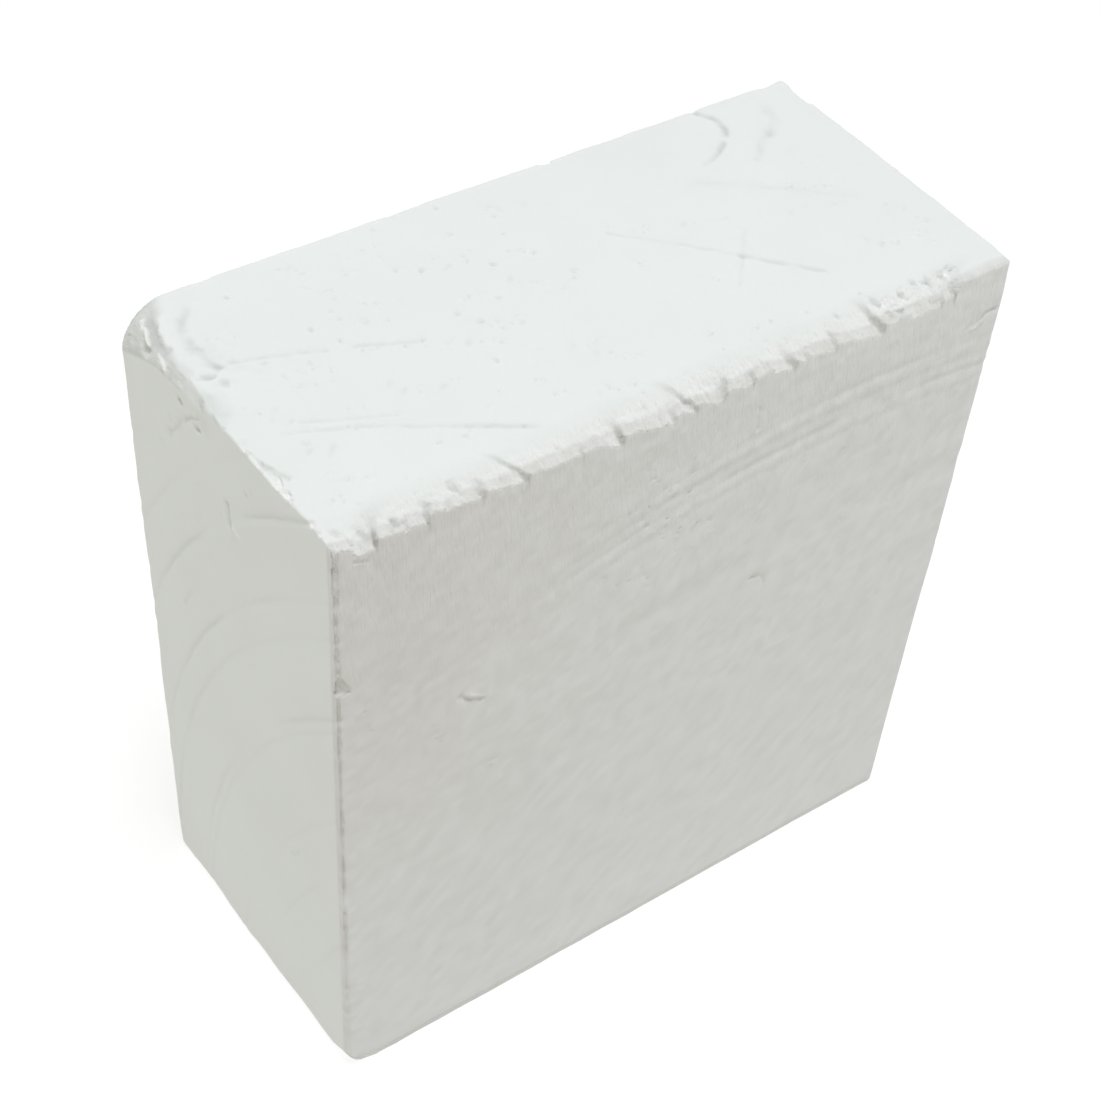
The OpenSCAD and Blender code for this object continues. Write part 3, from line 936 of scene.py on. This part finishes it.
# Sizes and heights of the patterns, in mm
CLOUD_SIZE = 9.0
SPECK_SIZE = 0.5
POWDER_SIZE, POWDER_HEIGHT = 0.14, 0.02
CRUMB_SIZE, CRUMB_HEIGHT = 0.20, 0.07
STREAK_SIZE, STREAK_HEIGHT = 0.20, 0.11
STREAK_STRETCH = (1, 7, 7)  # the streaks run up the front
FAINTEST_STREAKS = 0.10  # share of their height where the mesh says there is no grain


class Nodes:
    """Short ways to add and join shader nodes."""

    def __init__(self, tree):
        self.tree = tree
        tree.nodes.clear()

    def add(self, kind, **settings):
        node = self.tree.nodes.new(kind)
        for name, value in settings.items():
            setattr(node, name, value)
        return node

    def join(self, value, socket):
        """Joins an output to the socket, or sets the socket to a plain number or colour."""
        if isinstance(value, bpy.types.NodeSocket):
            self.tree.links.new(value, socket)
        else:
            socket.default_value = value

    def attribute(self, name):
        return self.add("ShaderNodeAttribute", attribute_name=name).outputs["Fac"]

    def noise(self, place, size, detail=3.0, stretch=(1, 1, 1)):
        """Noise whose features are about `size` mm wide."""
        mapping = self.add("ShaderNodeMapping")
        mapping.inputs["Scale"].default_value = [1.0 / (size * MM) / s for s in stretch]
        self.join(place, mapping.inputs["Vector"])
        texture = self.add("ShaderNodeTexNoise")
        texture.inputs["Scale"].default_value = 1.0
        texture.inputs["Detail"].default_value = detail
        self.join(mapping.outputs["Vector"], texture.inputs["Vector"])
        return texture.outputs["Fac"]

    def ramp(self, value, low, high, to_low=0.0, to_high=1.0):
        """The value spread from low..high to to_low..to_high, and held inside that."""
        node = self.add("ShaderNodeMapRange")
        inputs = {"Value": value, "From Min": low, "From Max": high, "To Min": to_low, "To Max": to_high}
        for name, number in inputs.items():
            self.join(number, node.inputs[name])
        return node.outputs["Result"]

    def times(self, a, b):
        node = self.add("ShaderNodeMath", operation="MULTIPLY")
        self.join(a, node.inputs[0])
        self.join(b, node.inputs[1])
        return node.outputs[0]

    def mix(self, factor, a, b):
        """Colour a where factor is 0 and b where it is 1."""
        node = self.add("ShaderNodeMix", data_type="RGBA")
        self.join(factor, node.inputs["Factor"])
        for name, value in (("A", a), ("B", b)):
            self.join(value, next(s for s in node.inputs if s.name == name and s.type == "RGBA"))
        return next(s for s in node.outputs if s.type == "RGBA")

    def bump(self, height, strength, distance, normal=None):
        node = self.add("ShaderNodeBump")
        node.inputs["Strength"].default_value = strength
        node.inputs["Distance"].default_value = distance * MM
        self.join(height, node.inputs["Height"])
        if normal is not None:
            self.join(normal, node.inputs["Normal"])
        return node.outputs["Normal"]


def chalk_material():
    """Chalk: colour with faint clouds and specks, then wear, stains and painted shade from the mesh, then
    fine grain.
    """
    material = bpy.data.materials.new("chalk")
    material.use_nodes = True
    n = Nodes(material.node_tree)
    place = n.add("ShaderNodeTexCoord").outputs["Object"]
    cloud = n.ramp(n.noise(place, CLOUD_SIZE, 2.0), 0.35, 0.7)
    speck = n.ramp(n.noise(place, SPECK_SIZE, 4.0), 0.55, 0.72)
    color = n.mix(n.times(cloud, 0.5), CHALK, CHALK_SHADE)
    color = n.mix(n.times(speck, 0.35), color, CHALK_SHADE)
    color = n.mix(n.attribute("fresh"), color, FRESH_CHALK)
    # painted shade on the crushed corner
    color = n.mix(n.attribute("pressed"), color, CORNER_SHADE_COLOR)
    color = n.mix(n.attribute("stain"), color, STAIN)
    # painted shade in crevices, grooves and on the walls of the crumbled edge
    color = n.mix(n.times(n.attribute("painted_crevice_shade"), 0.7), color, PAINTED_CREVICE_SHADE)
    # brown dirt and painted shade in the groove at the left upright edge
    color = n.mix(n.times(n.attribute("edge_dirt_and_shade"), 0.8), color, EDGE_DIRT_AND_SHADE)
    powder = n.bump(n.noise(place, POWDER_SIZE, 3.0), 0.30, POWDER_HEIGHT)
    crumbs = n.times(n.noise(place, CRUMB_SIZE, 2.0), n.attribute("fresh"))
    crumbs = n.bump(crumbs, 1.0, CRUMB_HEIGHT, powder)
    streaks = n.ramp(n.noise(place, STREAK_SIZE, 2.0, STREAK_STRETCH), 0.0, 1.0, -0.5, 0.5)
    streaks = n.times(streaks, n.ramp(n.attribute("grain"), 0.0, 1.0, FAINTEST_STREAKS, 1.0))
    relief = n.bump(streaks, 1.0, STREAK_HEIGHT, crumbs)
    shader = n.add("ShaderNodeBsdfPrincipled")
    shader.inputs["Roughness"].default_value = 0.95
    shader.inputs["Diffuse Roughness"].default_value = 0.6
    shader.inputs["Specular IOR Level"].default_value = 0.18
    n.join(color, shader.inputs["Base Color"])
    n.join(relief, shader.inputs["Normal"])
    n.join(shader.outputs["BSDF"], n.add("ShaderNodeOutputMaterial").inputs["Surface"])
    return material


# ------------------------------------------------ camera, floor and light

def make_camera():
    """The photograph's camera."""
    azimuth, elevation, roll = (math.radians(a) for a in (CAMERA_AZIMUTH, CAMERA_ELEVATION, CAMERA_ROLL))
    ahead = Vector((
        math.cos(elevation) * math.sin(azimuth),
        math.cos(elevation) * math.cos(azimuth),
        -math.sin(elevation),
    ))
    level = Vector((math.cos(azimuth), -math.sin(azimuth), 0.0))
    rise = level.cross(ahead)
    right = level * math.cos(roll) + rise * math.sin(roll)
    up = rise * math.cos(roll) - level * math.sin(roll)
    data = bpy.data.cameras.new("camera")
    data.lens = CAMERA_LENS
    data.clip_start = 0.005
    camera = bpy.data.objects.new("camera", data)
    turn = Matrix((right, up, -ahead)).transposed()
    place = (Vector(CAMERA_AIM) - ahead * CAMERA_DISTANCE) * MM
    camera.matrix_world = Matrix.LocRotScale(place, turn.to_quaternion(), None)
    bpy.context.scene.collection.objects.link(camera)
    bpy.context.scene.camera = camera


def make_floor():
    """A wide white table under the block."""
    half = FLOOR_SIZE / 2
    mesh = bpy.data.meshes.new("floor")
    corners = [(-half, -half, 0), (half, -half, 0), (half, half, 0), (-half, half, 0)]
    mesh.from_pydata(corners, [], [(0, 1, 2, 3)])
    floor = bpy.data.objects.new("floor", mesh)
    material = bpy.data.materials.new("floor")
    material.use_nodes = True
    n = Nodes(material.node_tree)
    diffuse = n.add("ShaderNodeBsdfDiffuse")
    diffuse.inputs["Color"].default_value = (FLOOR_ALBEDO, FLOOR_ALBEDO, FLOOR_ALBEDO, 1.0)
    glow = n.add("ShaderNodeEmission")
    glow.inputs["Strength"].default_value = FLOOR_GLOW
    both = n.add("ShaderNodeAddShader")
    n.join(diffuse.outputs[0], both.inputs[0])
    n.join(glow.outputs[0], both.inputs[1])
    n.join(both.outputs[0], n.add("ShaderNodeOutputMaterial").inputs["Surface"])
    mesh.materials.append(material)
    bpy.context.scene.collection.objects.link(floor)


def make_sky():
    """An even warm sky that the camera itself sees as plain white."""
    world = bpy.data.worlds.new("sky")
    world.use_nodes = True
    n = Nodes(world.node_tree)
    sky = n.add("ShaderNodeBackground")
    sky.inputs["Color"].default_value = (*SKY_COLOR, 1.0)
    backdrop = n.add("ShaderNodeBackground")
    backdrop.inputs["Color"].default_value = (BACKDROP_WHITE, BACKDROP_WHITE, BACKDROP_WHITE, 1.0)
    mix = n.add("ShaderNodeMixShader")
    n.join(n.add("ShaderNodeLightPath").outputs["Is Camera Ray"], mix.inputs["Fac"])
    n.join(sky.outputs[0], mix.inputs[1])
    n.join(backdrop.outputs[0], mix.inputs[2])
    n.join(mix.outputs[0], n.add("ShaderNodeOutputWorld").inputs["Surface"])
    bpy.context.scene.world = world


def make_light(name, power, size, place, color):
    """A square soft light that faces the block."""
    data = bpy.data.lights.new(name, "AREA")
    data.energy = power
    data.size = size
    data.color = color
    light = bpy.data.objects.new(name, data)
    light.location = place
    toward = Vector((0, 0, HIGH[2] / 2 * MM)) - light.location
    light.rotation_euler = toward.to_track_quat("-Z", "Y").to_euler()
    bpy.context.scene.collection.objects.link(light)


# ------------------------------------------------ the scene

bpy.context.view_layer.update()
make_camera()
make_sky()
make_light("key", KEY_POWER, KEY_SIZE, KEY_PLACE, KEY_COLOR)
make_light("fill", FILL_POWER, FILL_SIZE, FILL_PLACE, FILL_COLOR)
make_floor()

block = make_block()
block.data.materials.append(chalk_material())
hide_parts(NODE)
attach(block, "root")

bpy.context.scene.view_settings.view_transform = "Standard"
